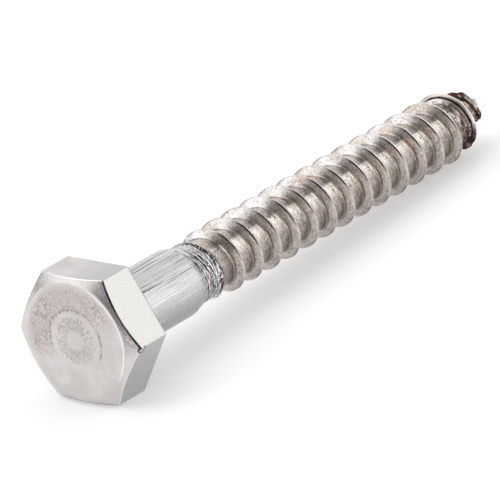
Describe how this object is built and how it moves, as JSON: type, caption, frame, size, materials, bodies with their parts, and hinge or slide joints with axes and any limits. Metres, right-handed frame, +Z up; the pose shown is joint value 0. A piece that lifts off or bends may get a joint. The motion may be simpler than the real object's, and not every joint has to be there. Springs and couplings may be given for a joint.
{
  "type": "lag screw",
  "caption": "Hex head lag screw with a chamfered head, a short plain shank, a tapered neck and a coarse right-hand wood thread running out to a gimlet point.",
  "frame": {"origin": "centre of the bottom of the bounding box, on the floor that the screw lies on", "axes": "+X along the screw from head to point, +Z up; the screw's own axis lies in the XZ plane and dips 3.1 degrees towards the point, as it rests on one edge of the head and on the thread's crests"},
  "size_m": [0.0564, 0.0128, 0.0113],
  "materials": {
    "stainless_steel": "cold-headed and rolled, bright with drawing lines, brown at the point"
  },
  "bodies": {
    "root": {"lag_screw": "stainless_steel"}
  },
  "joints": []
}
